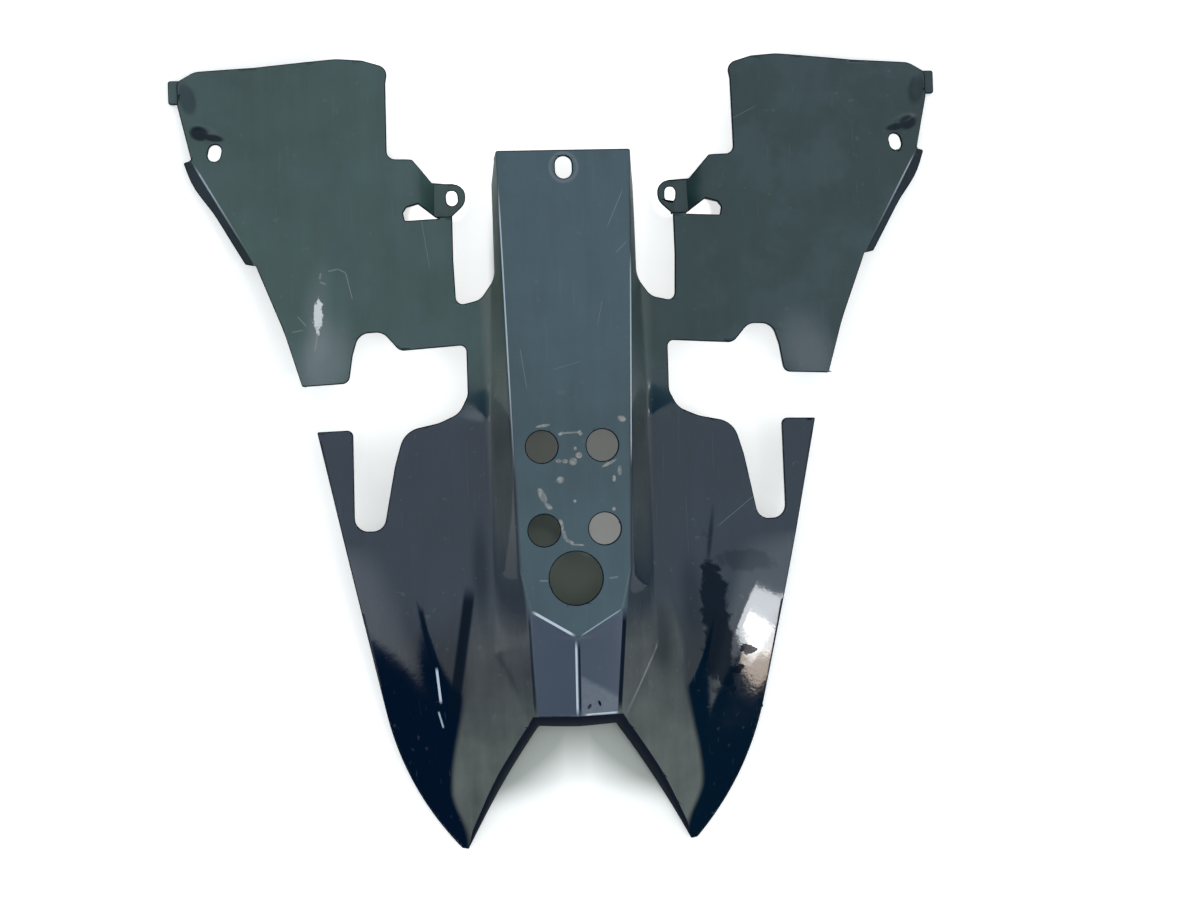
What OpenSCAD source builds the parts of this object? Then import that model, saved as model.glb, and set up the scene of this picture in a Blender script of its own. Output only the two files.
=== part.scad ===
// Undertail of a motorcycle: the moulded cover under the tail of the seat unit.
// It lies with its outer face up, as seen from below the motorcycle.
// X is across, +Y is towards the front of the motorcycle, +Z is out of the outer face.

/* [Overall] */
// width over the tabs at the outer corners of the ears
overall_width = 382.6; // [350:0.2:392]
// length from the front edges of the ears to the tips of the wings
overall_length = 390.3; // [378:0.1:420]

/* [Sheet] */
// thickness of the moulded sheet
sheet_t = 2.6; // [2.2:0.1:3.2]

/* [Centre plate] */
// height of the flat centre plate over the surface it rests on
plate_height = 28; // [25:0.5:32]
// width of the centre plate at its front end
plate_front_width = 65.6; // [62:0.2:67]
// width of the centre plate just ahead of its pointed end
plate_rear_width = 54; // [50:0.5:57]
// fall of the two rear facets for each millimetre behind the point
facet_fall = 0.3; // [0.15:0.01:0.36]

/* [Bolt holes] */
// diameter of the four round holes
bolt_hole_d = 15.6; // [10:0.2:18]
// distance between the left and right holes
bolt_spacing_x = 29.6; // [24:0.2:32]
// distance between the front and rear holes
bolt_spacing_y = 40.6; // [34:0.2:44]
// diameter of the hole for the wiring
wiring_hole_d = 26; // [18:0.5:30]

/* [Front slot] */
// width of the slotted hole at the front of the plate
front_slot_width = 8.2; // [5:0.2:12]
// length of the slotted hole at the front of the plate
front_slot_length = 11; // [9:0.2:16]

/* [Ears] */
// height of the soft crest that runs along each ear
ear_crest = 19.6; // [18:0.2:22]
// slope of the ear on the outer side of its crest
ear_outer_slope = 0.22; // [0.16:0.01:0.24]
// width of the slotted hole in each ear
ear_slot_width = 6.4; // [4:0.2:8]
// length of the slotted hole in each ear
ear_slot_length = 8.4; // [7:0.2:12]
// how far the edge flange steps down from the ear
flange_step = 2; // [1:0.1:2.3]

/* [Ring lugs] */
// outside radius of the ring at the end of each lug
ring_r = 6.6; // [6:0.1:8]
// how far the lug steps down from the ear
lug_step = 9; // [5:0.2:10.4]
// width of the slotted hole in each ring
ring_slot_width = 5.6; // [4:0.2:6.6]
// length of the slotted hole in each ring
ring_slot_length = 7.6; // [6.6:0.2:8.6]

/* [Wings] */
// height of the soft crest of each wing at its front
wing_crest = 19; // [17:0.2:21]
// height of the crest at the tip of each wing
wing_tip = 3.4; // [2.9:0.1:5]
// slope of the wing outside its crest
wing_outer_slope = 0.24; // [0.12:0.01:0.3]
// slope of the wing inside its crest, beside the plate
wing_inner_slope = 0.35; // [0.2:0.01:0.45]

/* [Ear pockets] */
// depth of the two shallow pockets beside each ear slot
pocket_depth = 1.3; // [0.6:0.1:1.8]

/* [Tail notch lip] */
// how far the lip drops below the sheet at the middle of the notch
lip_drop = 8; // [4:0.2:9]
// how far the lip leans into the notch
lip_lean = 3.4; // [2:0.1:4.5]

/* [Hidden] */

plastic = [0.09, 0.1, 0.12];

// The outline is drawn for this width and length, and its places move with the overall sizes.
wide = overall_width / 382.6;
long = overall_length / 390.3;
function placed(corners) = [for (q = corners) len(q) > 2 ? [q[0] * wide, q[1] * long, q[2]] : [q[0] * wide, q[1] * long]];

// Stations along the part, from the tips of the wings to the front edge.
rear_y = -202 * long;
front_y = 202 * long;
plate_front_y = 147 * long;
plate_rear_y = -58 * long;
point_side_y = -77 * long;
point_tip_y = -90.5 * long;
point_half_width = 22.4;
notch_y = -134.4 * long;
notch_half_width = 19.2;
plate_front_half = plate_front_width / 2;
foot_out = 2;
foot_half_width = 40.5;

// Where the form of the wings goes over into the form of the ears.
blend_start_y = 14 * long;
blend_end_y = 36 * long;

// The crest of the wing.
wing_crest_x = 70 * wide;
wing_crest_pull = 13 * wide;
wing_crest_round = 24;
tip_crest_round = 3;
wing_fall_start_y = -40 * long;
tip_y = -195.2 * long;

// The crest of the ear.
ear_crest_x = 121 * wide;
ear_crest_round = 30;
ear_inner_slope = 0.07;
ear_front_droop = 4.4;
ear_droop_start_y = 60 * long;

bolt_centre_y = -17.5 * long;
wiring_hole_y = -61.5 * long;
front_slot_y = 138.5 * long;
ear_slot_at = [169 * wide, 151 * long];
ear_slot_turn = 14;
ring_at = [54.2 * wide, 126.8 * long];
ring_slot_turn = -4;
lug_crease_x = 71.6 * wide;
lug_flat_x = 64 * wide;
lug_low_y = 123 * long;
lug_root = 5;
tab_size = [8.3, 11.6];
tab_at = [overall_width / 2 - tab_size[0], 176.2 * long];
tab_t = 2.8;
flange_t = 2.4;
flange_root = 4;
flange_rear = [155.9 * wide, 96.4 * long];
flange_front = [184.6 * wide, 147 * long];
ear_edge_rear = [150.4 * wide, 95.4 * long];
ear_edge_front = [180.2 * wide, 147.2 * long];

function clamp01(t) = max(0, min(1, t));
function soft_step(t) = let(c = clamp01(t)) c * c * (3 - 2 * c);
function mix(a, b, t) = a * (1 - t) + b * t;

// Height of a crest with a round top and straight flanks.
function crest(u, top, round_r, inner, outer) =
    top - (inner + outer) / 2 * (sqrt(u * u + round_r * round_r) - round_r) - (outer - inner) / 2 * u;

function fall(y) = pow(max(0, wing_fall_start_y - y) / (wing_fall_start_y - tip_y), 1.6);
function crest_x(y) = wing_crest_x - wing_crest_pull * pow(max(0, -60 * long - y) / (135 * long), 1.5);
function crest_round(y) =
    tip_crest_round + (wing_crest_round - tip_crest_round) * pow(clamp01((y - tip_y) / (155 * long)), 1.5);
function inner_slope(y) = wing_inner_slope * soft_step((y / long + 140) / 100);

function wing_z(x, y) =
    crest(x - crest_x(y), mix(wing_crest, wing_tip, fall(y)), crest_round(y), inner_slope(y), wing_outer_slope);

function ear_z(x, y) =
    crest(x - ear_crest_x, ear_crest, ear_crest_round, ear_inner_slope, ear_outer_slope)
    - ear_front_droop * pow(max(0, y - ear_droop_start_y) / (130 * long), 2);

// Outer face of the ears and wings.
function skin_z(x, y) = mix(wing_z(x, y), ear_z(x, y), soft_step((y - blend_start_y) / (blend_end_y - blend_start_y)));

// Half width of the raised plate and of the foot of its side walls.
function plate_half(y) = lookup(y, [
    [rear_y, 17],
    [notch_y, notch_half_width + 0.4],
    [point_side_y, point_half_width],
    [plate_rear_y, plate_rear_width / 2],
    [plate_front_y, plate_front_half],
    [front_y, plate_front_half]
]);
function foot_half(y) = lookup(y, [
    [rear_y, 18],
    [-136 * long, 22],
    [-97 * long, foot_half_width],
    [-50 * long, foot_half_width],
    [0, foot_half_width - 1],
    [50 * long, plate_front_half + foot_out + 3.2],
    [80 * long, plate_front_half + foot_out + 2.2],
    [132 * long, plate_front_half + foot_out],
    [front_y, plate_front_half + foot_out - 0.2]
]);

// Outer face of the whole sheet.
function face_z(x, y) = let(p = plate_half(y), f = foot_half(y))
    x < p ? plate_z(x, y) : x < f ? mix(plate_z(p, y), skin_z(f, y), (x - p) / (f - p)) : skin_z(x, y);

// Distance behind the pointed end of the plate, square to its edge.
edge_run = norm([point_half_width, point_side_y - point_tip_y]);
function behind_point(x, y) =
    ((point_side_y - point_tip_y) * x + point_half_width * (point_tip_y - y)) / edge_run;
function plate_z(x, y) = plate_height - facet_fall * max(0, behind_point(x, y));

// Column that follows the pointed end, so that its edge stays sharp.
function point_x(y) = y >= point_side_y ? plate_half(y) - 0.6
    : max(0.4, (point_half_width - 0.6) * (y - point_tip_y) / (point_side_y - point_tip_y));

function outer_edge_x(y) = wide * lookup(y, [
    [rear_y, 70],
    [-150 * long, 96],
    [blend_start_y, 132],
    [blend_end_y, 194],
    [front_y, 196]
]);
function middle_x(y) = mix(crest_x(y), ear_crest_x, soft_step((y - blend_start_y) / (blend_end_y - blend_start_y)));

inner_steps = [0.14, 0.34, 0.56, 0.78, 1];
outer_steps = [0.2, 0.42, 0.66, 0.84, 1];

// Half of a cross section of the outer face, from the middle outwards.
function outer_half(y) = let(
    p = plate_half(y),
    f = foot_half(y),
    m = middle_x(y),
    e = outer_edge_x(y),
    v = point_x(y)
) concat(
    [[0, plate_z(0, y)], [v, plate_z(v, y)], [p, plate_z(p, y)], [f, skin_z(f, y)]],
    [for (s = inner_steps) let(x = mix(f, m, s)) [x, skin_z(x, y)]],
    [for (s = outer_steps) let(x = mix(m, e, s)) [x, skin_z(x, y)]]
);

// The same section of the inner face. The side walls keep their thickness.
function inner_half(y) = let(
    p = plate_half(y),
    f = foot_half(y),
    m = middle_x(y),
    e = outer_edge_x(y),
    v = point_x(y),
    lean = atan2(plate_z(p, y) - skin_z(f, y), f - p),
    shift = sheet_t * tan(lean / 2),
    free = soft_step((y / long - 72) / 10)
) concat(
    [
        [0, plate_z(0, y) - sheet_t],
        [max(0.3, min(v, p - 1) - shift), plate_z(min(v, p - 1), y) - sheet_t],
        [p - shift, plate_z(p, y) - sheet_t],
        [f - shift, skin_z(f, y) - sheet_t * (1 - 0.9 * free)]
    ],
    [for (s = inner_steps) let(x = mix(f, m, s)) [x, skin_z(x, y) - sheet_t]],
    [for (s = outer_steps) let(x = mix(m, e, s)) [x, skin_z(x, y) - sheet_t]]
);

function mirrored(half) = concat(
    [for (i = [len(half) - 1:-1:1]) [-half[i][0], half[i][1]]],
    half
);

function along(ys) = [for (y = ys) y * long];
stations = concat(
    [rear_y],
    along([-194, -186, -178, -170, -160, -150, -142]),
    [notch_y],
    along([-124, -112, -96.5]),
    [point_tip_y, point_side_y],
    along([-66]),
    [plate_rear_y],
    along([-40, -20, 0]),
    [blend_start_y],
    along([19, 25, 31]),
    [blend_end_y],
    along([50, 62, 72, 82, 96, 110, 124, 138]),
    [plate_front_y],
    along([160, 174, 188]),
    [front_y]
);

// A sheet between two faces, lofted through the stations.
module lofted_sheet(ys) {
    tops = [for (y = ys) mirrored(outer_half(y))];
    lows = [for (y = ys) mirrored(inner_half(y))];
    n = len(tops[0]);
    rings = [for (j = [0:len(ys) - 1]) concat(tops[j], [for (i = [n - 1:-1:0]) lows[j][i]])];
    m = 2 * n;
    points = [for (j = [0:len(ys) - 1]) for (q = rings[j]) [q[0], ys[j], q[1]]];
    sides = [for (j = [0:len(ys) - 2]) for (i = [0:m - 1]) let(
        a = j * m + i,
        b = j * m + (i + 1) % m,
        c = a + m,
        d = b + m
    ) each [[a, c, b], [b, c, d]]];
    strip = [for (i = [0:n - 2]) [i, i + 1, m - 2 - i, m - 1 - i]];
    last = (len(ys) - 1) * m;
    rear_cap = [for (s = strip) each [[s[0], s[1], s[2]], [s[0], s[2], s[3]]]];
    front_cap = [for (s = strip) each [[last + s[0], last + s[2], last + s[1]], [last + s[0], last + s[3], last + s[2]]]];
    polyhedron(points, concat(sides, rear_cap, front_cap), convexity = 10);
}

// A closed path whose corners are given as [x, y, radius].
function unit(v) = v / norm(v);
function corner_arc(a, p, b, r) = r <= 0 ? [p] : let(
    u = unit(a - p),
    v = unit(b - p),
    half = acos(max(-1, min(1, u * v))) / 2,
    centre = p + unit(u + v) * r / sin(half),
    start = p + u * r / tan(half) - centre,
    side = u[0] * v[1] - u[1] * v[0] > 0 ? -1 : 1,
    sweep = 180 - 2 * half,
    steps = max(2, ceil(sweep / 18))
) [for (k = [0:steps]) let(a = side * sweep * k / steps)
    centre + [start[0] * cos(a) - start[1] * sin(a), start[0] * sin(a) + start[1] * cos(a)]];
function rounded(c) = let(n = len(c)) [for (i = [0:n - 1]) let(
    a = c[(i + n - 1) % n],
    p = c[i],
    b = c[(i + 1) % n]
) each corner_arc([a[0], a[1]], [p[0], p[1]], [b[0], b[1]], p[2])];

// The wing tapers on a straight line, then curves in to its tip.
wing_front_corner = [123.5 * wide, 13.4 * long];
wing_curve_start = [94 * wide, -126 * long];
wing_tip_outer = [58.8 * wide, -194.6 * long];
wing_tip_inner = [55.6 * wide, tip_y];
wing_bow = 5.2;
function bowed(a, b, bow, steps) = [for (k = [1:steps - 1]) let(t = k / steps, d = unit(b - a))
    a + (b - a) * t + [d[1], -d[0]] * (-4 * bow * t * (1 - t))];
function as_corner(pts) = [for (p = pts) [p[0], p[1], 0]];

// The edge of the sheet in the tail notch, where the lip bends down.
notch_bow = 1.2;
notch_corner = [notch_half_width, notch_y];
function lean_at(t) = lip_lean * (0.25 + 0.75 * soft_step(t * 1.6));
notch_steps = 7;
function notch_edge(t) = let(
    a = [wing_tip_inner[0], wing_tip_inner[1]],
    d = unit(notch_corner - a)
) a + (notch_corner - a) * t + [-d[1], d[0]] * (-4 * notch_bow * t * (1 - t));
lip_in = let(d = unit(notch_corner - wing_tip_inner)) [d[1], -d[0]];
function bend_edge(t) = notch_edge(t) + lip_in * lean_at(t);
notch_middle_y = notch_y - 0.5;
bend_middle_y = notch_middle_y + lip_lean;
bend_corner = let(d = unit(notch_corner - wing_tip_inner), a = notch_corner + lip_in * lip_lean, y = notch_y + lip_lean)
    [a[0] + d[0] * (y - a[1]) / d[1], y];

// Plan of one half of the sheet, from the front edge of the plate to the tail notch.
half_outline = concat(
    [
        [-2, plate_front_y, 0],
        [plate_front_half, plate_front_y, 0.8],
        [plate_front_half + foot_out, 132 * long, 20],
        [plate_front_half + foot_out, 86 * long, 12]
    ],
    placed([
        [42, 75.8, 8],
        [53.8, 73, 3.4],
        [54.6, 96, 0],
        [54.45, 116.6, 0],
        [60.3, 116.6, 0],
        [61, 115.9, 0],
        [77.8, 115.1, 0.6],
        [78.5, 119.6, 1],
        [76.8, 121.4, 0.8]
    ]),
    [[lug_crease_x, lug_low_y, 0]],
    placed([
        [71.6, 145.2, 0],
        [85.4, 145.4, 4],
        [85, 183, 3],
        [83.6, 190.5, 5],
        [96, 194.2, 10],
        [108.5, 195.1, 20],
        [128, 193.6, 30],
        [148, 192.2, 30],
        [178, 191.6, 10],
        [187, 187, 4],
        [186.8, 175, 10],
        [180.3, 147.4, 20],
        [163.4, 118.4, 60],
        [150.4, 95, 20],
        [137.5, 62, 60],
        [129.6, 35.4, 0],
        [107, 36.4, 4],
        [104.8, 50, 8],
        [101.5, 60.5, 7],
        [90, 61, 7],
        [82, 51.6, 5],
        [49.6, 53.8, 3],
        [49.6, 29, 8],
        [54, 20.5, 10],
        [64, 16, 20],
        [81, 12.5, 12],
        [86, -4, 25],
        [92.4, -35.8, 6.5],
        [106.4, -35.8, 6.5],
        [105.8, 13.8, 3]
    ]),
    as_corner([wing_front_corner, wing_curve_start]),
    as_corner(bowed(wing_curve_start, wing_tip_outer, wing_bow, 8)),
    as_corner([wing_tip_outer, wing_tip_inner]),
    as_corner([for (k = [0:notch_steps - 1]) bend_edge(k / notch_steps)]),
    as_corner([bend_corner, [-2, bend_middle_y]])
);

module both_sides() {
    children();
    mirror([1, 0, 0]) children();
}

module slotted_hole(at, turn, width, length) {
    translate(at) rotate(turn) union() {
        translate([0, (length - width) / 2]) circle(d = width, $fn = 32);
        translate([0, (width - length) / 2]) circle(d = width, $fn = 32);
        square([width, length - width], center = true);
    }
}

module sheet_plan() {
    difference() {
        both_sides() polygon(rounded(half_outline));
        for (x = [-1, 1]) {
            for (y = [-1, 1]) {
                translate([x * bolt_spacing_x / 2, bolt_centre_y + y * bolt_spacing_y / 2]) circle(d = bolt_hole_d, $fn = 48);
            }
        }
        translate([0, wiring_hole_y]) circle(d = wiring_hole_d, $fn = 48);
        slotted_hole([0, front_slot_y], 0, front_slot_width, front_slot_length);
        both_sides() slotted_hole(ear_slot_at, ear_slot_turn, ear_slot_width, ear_slot_length);
    }
}

// Two shallow pockets are pressed into each ear beside its slot. The sheet stays as thick below them.
pockets = [
    [placed([[182, 178.4]])[0], [4, 8.2], -14],
    [placed([[173.6, 160.6]])[0], [6.6, 3], 28]
];
pocket_points = 16;
pocket_wall = 1.8;
function pocket_ring(p, grow, rise) = [for (k = [0:pocket_points - 1]) let(
    a = 360 * k / pocket_points,
    u = (p[1][0] + grow) * cos(a),
    v = (p[1][1] + grow) * sin(a),
    x = p[0][0] + u * cos(p[2]) - v * sin(p[2]),
    y = p[0][1] + u * sin(p[2]) + v * cos(p[2])
) [x, y, skin_z(x, y) + rise]];
module pocket_hollow(p) {
    swept([pocket_ring(p, -pocket_wall, -pocket_depth), pocket_ring(p, 0.4, 0.3)]);
}
module pocket_backing(p) {
    swept([pocket_ring(p, -pocket_wall + 1, -pocket_depth - sheet_t), pocket_ring(p, 1.4, 0.5 - sheet_t)]);
}

module sheet() {
    difference() {
        union() {
            intersection() {
                lofted_sheet(stations);
                translate([0, 0, -5]) linear_extrude(60) sheet_plan();
            }
            both_sides() for (p = pockets) pocket_backing(p);
        }
        both_sides() for (p = pockets) pocket_hollow(p);
    }
}

// The lip leans down into the notch, deep in the middle and shallow at the tips.
lip_t = 2;
lip_root = 1.2;
lip_sink = 0.5;
tip_drop = 1.8;
function drop_at(t) = mix(tip_drop, lip_drop, soft_step(t * 1.5));
function lip_section(top, low, top_z, drop, inwards) = [
    [top[0] + inwards[0] * lip_root, top[1] + inwards[1] * lip_root, top_z - lip_sink],
    [top[0], top[1], top_z - lip_sink],
    [low[0], low[1], top_z - drop],
    [low[0] + inwards[0] * lip_t, low[1] + inwards[1] * lip_t, top_z - drop],
    [top[0] + inwards[0] * lip_root * 2, top[1] + inwards[1] * lip_root * 2, top_z - sheet_t + 0.3]
];
half_lip = concat(
    [for (k = [0:notch_steps - 1]) let(t = k / notch_steps, b = bend_edge(t))
        lip_section(b, notch_edge(t), face_z(b[0], b[1]), drop_at(t), lip_in)],
    [lip_section(bend_corner, notch_corner, face_z(bend_corner[0], bend_corner[1]), lip_drop, [0.5, 0.9])]
);
middle_lip = lip_section([0, bend_middle_y], [0, notch_middle_y], face_z(0, bend_middle_y), lip_drop, [0, 1]);
lip_rings = concat(
    half_lip,
    [middle_lip],
    [for (i = [len(half_lip) - 1:-1:0]) [for (q = half_lip[i]) [-q[0], q[1], q[2]]]]
);

// A solid swept through rings that all have the same number of points.
module swept(rings) {
    m = len(rings[0]);
    last = (len(rings) - 1) * m;
    sides = [for (j = [0:len(rings) - 2]) for (i = [0:m - 1]) let(
        a = j * m + i,
        b = j * m + (i + 1) % m
    ) each [[a, b, a + m], [b, b + m, a + m]]];
    start_cap = [for (i = [1:m - 2]) [0, i + 1, i]];
    end_cap = [for (i = [1:m - 2]) [last, last + i, last + i + 1]];
    polyhedron([for (r = rings) each r], concat(sides, start_cap, end_cap), convexity = 6);
}

module notch_lip() {
    swept(lip_rings);
}

// The strip that steps down along the outer edge of each ear.
flange_steps = 8;
flange_rings = [for (k = [0:flange_steps]) let(
    t = k / flange_steps,
    out = flange_rear + (flange_front - flange_rear) * t + [-1.9 * sin(360 * t) + 0.5 * sin(180 * t), 0],
    in = ear_edge_rear + (ear_edge_front - ear_edge_rear) * t - [flange_root, 0],
    out_z = skin_z(out[0], out[1]) - flange_step,
    in_z = skin_z(in[0], in[1]) - flange_step
) [[in[0], in[1], in_z], [in[0], in[1], in_z - flange_t], [out[0], out[1], out_z - flange_t], [out[0], out[1], out_z]]];
module edge_flange() {
    swept(flange_rings);
}

// The lug steps down from the inner edge of the ear to a ring with a slotted hole.
module ring_lug_plan() {
    translate(ring_at) circle(r = ring_r, $fn = 48);
    polygon([
        [lug_crease_x + lug_root, 145.2 * long],
        [73.2 * wide, 145.2 * long],
        [63.9 * wide, 134.6 * long],
        [ring_at[0] + 1, ring_at[1] + ring_r],
        [ring_at[0] + 1, ring_at[1] - ring_r],
        [61.8 * wide, 117.4 * long],
        [lug_crease_x - 1, lug_low_y + 0.4],
        [lug_crease_x + lug_root, lug_low_y - 0.6]
    ]);
}
lug_top = skin_z(lug_crease_x, ring_at[1]) - 0.5;
lug_end_x = ring_at[0] - ring_r - 4;
module ring_lug() {
    intersection() {
        translate([0, ring_at[1] + 33, 0]) rotate([90, 0, 0]) linear_extrude(60) polygon([
            [lug_crease_x + lug_root + 1, lug_top],
            [lug_crease_x, lug_top],
            [lug_flat_x, lug_top - lug_step],
            [lug_end_x, lug_top - lug_step],
            [lug_end_x, lug_top - lug_step - sheet_t],
            [lug_flat_x - 1.2, lug_top - lug_step - sheet_t],
            [lug_crease_x - 1.2, lug_top - sheet_t],
            [lug_crease_x + lug_root + 1, lug_top - sheet_t + 0.4]
        ]);
        linear_extrude(40) ring_lug_plan();
    }
}

// Below the ring the lug climbs back to the corner of the ear, past the end of the window.
flare_foot_y = 121.2 * long;
flare_top_y = 116.4 * long;
flare_top = skin_z(57 * wide, flare_top_y) - 0.4;
module lug_flare() {
    intersection() {
        translate([lug_end_x, 0, 0]) rotate([90, 0, 90]) linear_extrude(24) polygon([
            [flare_top_y - 3, flare_top],
            [flare_top_y, flare_top],
            [flare_foot_y, lug_top - lug_step],
            [flare_foot_y + 2, lug_top - lug_step],
            [flare_foot_y + 2, lug_top - lug_step - sheet_t],
            [flare_foot_y - 1, lug_top - lug_step - sheet_t],
            [flare_top_y - 1, flare_top - sheet_t],
            [flare_top_y - 3, flare_top - sheet_t]
        ]);
        linear_extrude(40) polygon([
            [54.7 * wide, 112 * long],
            [60.1 * wide, 112 * long],
            [60.1 * wide, 116.4 * long],
            [61.8 * wide, 117.4 * long],
            [64 * wide, 119 * long],
            [ring_at[0] + ring_r, ring_at[1]],
            [ring_at[0] - ring_r * 0.3, ring_at[1] - 1],
            [ring_at[0] - ring_r * 0.67, ring_at[1] - ring_r * 0.74],
            [54.5 * wide, 117.6 * long]
        ]);
    }
}

module corner_tab() {
    translate(tab_at) linear_extrude(tab_t) square(tab_size);
}

module undertail() {
    color(plastic) union() {
        sheet();
        notch_lip();
        both_sides() {
            edge_flange();
            difference() {
                union() {
                    ring_lug();
                    lug_flare();
                }
                translate([0, 0, -5]) linear_extrude(60) slotted_hole(ring_at, ring_slot_turn, ring_slot_width, ring_slot_length);
            }
            corner_tab();
        }
    }
}

undertail();
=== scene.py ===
import math

import bmesh
import bpy
import numpy as np
from bpy.props import FloatProperty, FloatVectorProperty, PointerProperty
from mathutils import Matrix, Vector


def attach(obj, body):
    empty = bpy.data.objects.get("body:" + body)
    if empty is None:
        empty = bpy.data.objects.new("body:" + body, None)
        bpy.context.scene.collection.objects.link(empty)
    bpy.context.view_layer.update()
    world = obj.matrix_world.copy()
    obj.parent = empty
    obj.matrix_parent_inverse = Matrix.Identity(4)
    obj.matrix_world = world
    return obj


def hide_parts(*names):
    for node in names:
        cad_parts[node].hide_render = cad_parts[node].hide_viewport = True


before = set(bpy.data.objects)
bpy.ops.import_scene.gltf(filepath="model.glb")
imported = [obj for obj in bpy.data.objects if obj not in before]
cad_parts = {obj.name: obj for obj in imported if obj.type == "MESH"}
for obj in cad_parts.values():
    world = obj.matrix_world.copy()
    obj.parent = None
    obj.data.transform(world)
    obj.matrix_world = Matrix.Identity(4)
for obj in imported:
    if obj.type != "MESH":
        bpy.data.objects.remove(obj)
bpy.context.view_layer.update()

bl_info = {
    "name": "Moulded undertail",
    "version": (1, 0, 0),
    "blender": (4, 5, 0),
    "location": "3D View > Sidebar > Undertail",
    "description": "Makes a gloss black moulded undertail, its marks of use and a pale studio",
    "category": "Add Mesh",
}

MM = 0.001

# sizes in millimetres, in the frame of the CAD
PLATE_TOP = 28.0
SHEET = 2.6
POINT_Y, POINT_RISE, POINT_HALF = -90.5, 13.5, 22.4
FLANGE_DROP = 2.0
LUG_DROP, LUG_RAMP = 9.3, 7.6
LIP_WIDTH, BEND_Y = 3.4, -131.0
PINS_Y, PINS_X, PINS_HALF = -17.5, 14.8, 20.3
WIRING_AT = (0, -61.5)
FRONT_SLOT_AT = (0, 138.5)
# place, turn in degrees, width and length of the slots in ears and ring lugs
EAR_SLOT = ((169, 151), 14, 6.4, 8.4)
RING_SLOT = ((54.2, 126.8), -4, 5.6, 7.6)
# place, half axes, turn in degrees and depth of the sharp pockets in the ears
POCKETS = (((182, 178.4), (4.2, 8.4), -14, 1.8), ((174.4, 160.2), (7.6, 3.2), 20, 1.9))


# ---------------------------------------------------------------- the form

def soft_step(t):
    """Smooth rise from 0 to 1: three t squared less two t cubed, held at both ends."""
    c = np.clip(t, 0, 1)
    return c * c * (3 - 2 * c)


def mix(a, b, t):
    """Straight blend from a to b."""
    return a * (1 - t) + b * t


def soft_min(a, b, r):
    """The lower of two heights, with the corner between them rounded over the height r."""
    return 0.5 * (a + b - np.sqrt((a - b) ** 2 + r * r))


def soft_max(a, b, r):
    """The higher of two heights, with the corner between them filled over the height r."""
    return 0.5 * (a + b + np.sqrt((a - b) ** 2 + r * r))


def crest(u, top, r, inner, outer):
    """A hyperbola: straight flanks of slopes inner and outer that meet in a crown of radius r."""
    return top - (inner + outer) / 2 * (np.sqrt(u * u + r * r) - r) - (outer - inner) / 2 * u


def crest_x(y):
    """The wing's crest runs straight, then pulls in towards the tip by a power of the distance."""
    return 70 - 13 * (np.maximum(0, -60 - y) / 135) ** 1.5


def wing_z(x, y):
    """Height of a wing: a crest that falls and sharpens towards the tip."""
    fall = (np.maximum(0, -40 - y) / 155.2) ** 1.6
    crown = 3 + 21 * np.clip((y + 195.2) / 155, 0, 1) ** 1.5
    inner = 0.35 * soft_step((y + 140) / 100)
    return crest(x - crest_x(y), mix(19.0, 3.4, fall), crown, inner, 0.24)


def ear_z(x, y):
    """Height of an ear: a soft crest, drooping with the square of the distance to the front."""
    return crest(x - 121, 19.6, 30, 0.07, 0.22) - 4.4 * (np.maximum(0, y - 60) / 130) ** 2


def skin_z(x, y):
    """Height of the outer face beside the plate: wing behind, ear in front, blended between."""
    return mix(wing_z(x, y), ear_z(x, y), soft_step((y - 14) / 22))


def plate_half(y):
    """Half width of the raised plate."""
    return np.interp(y, [-202, -134.4, -77, -58, 147, 202], [17, 19.6, 22.4, 27, 32.8, 32.8])


def foot_half(y):
    """Half width at the foot of the plate's side walls."""
    return np.interp(
        y, [-202, -136, -97, -50, 0, 50, 80, 132, 202], [18, 22, 40.5, 40.5, 39.5, 38, 37, 34.8, 34.6]
    )


def behind_point(x, y):
    """Distance behind the plate's pointed end, square to the edge of the point."""
    return (POINT_RISE * x + POINT_HALF * (POINT_Y - y)) / math.hypot(POINT_HALF, POINT_RISE)


def plate_z(x, y):
    """The flat plate, a small step along the point, and the two facets that fall behind it."""
    b = behind_point(x, y)
    ramp = 0.5 * (b + np.sqrt(b * b + 0.3))
    return PLATE_TOP - 0.3 * ramp - 0.35 * soft_step(b / 0.9)


def ear_edge_x(y):
    """The line along which the ear's outer edge steps down to its flange."""
    return np.interp(y, [-202, 30, 62, 95.2, 147.3, 160, 202], [112, 140, 145, 150.6, 180.4, 190, 194])


def side_x(y):
    """The last close column of the grid: it runs just outside the outline, or along the flange's step."""
    return np.interp(
        y, [-202, -194.6, -180, -160, -126, 13.4, 24, 35.4, 62, 93.5, 95.2, 147.3, 162, 175, 202],
        [62.5, 62.5, 70.5, 80.5, 96.8, 126.2, 128, 132.4, 140.6, 150.6, 150.6, 180.4, 187, 190, 194],
    )


def dent(x, y, at, size, turn, depth, power=2.0):
    """A pocket pressed into the face: a bell of the distance in a turned ellipse."""
    c, s = math.cos(math.radians(turn)), math.sin(math.radians(turn))
    u = ((x - at[0]) * c + (y - at[1]) * s) / size[0]
    v = ((y - at[1]) * c - (x - at[0]) * s) / size[1]
    return depth * np.exp(-((u * u + v * v) ** (power / 2)))


def flange_step(x, y):
    """How far the flange lies below the ear: a smooth step across the ear's outer edge."""
    across = soft_step((x - ear_edge_x(y)) / 1.1)
    return FLANGE_DROP * (across * soft_step((y - 60) / 2) * soft_step((160 - y) / 2))


def lug_step(x, y, ramp_end):
    """How far the ring lug lies below the ear: a straight ramp that ends at ramp_end."""
    along = soft_step((y - 116.6) / 0.7) * (1 - soft_step((y - 150) / 2))
    return LUG_DROP * (along * np.clip((ramp_end - x) / LUG_RAMP, 0, 1)) * (x > 46)


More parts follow.
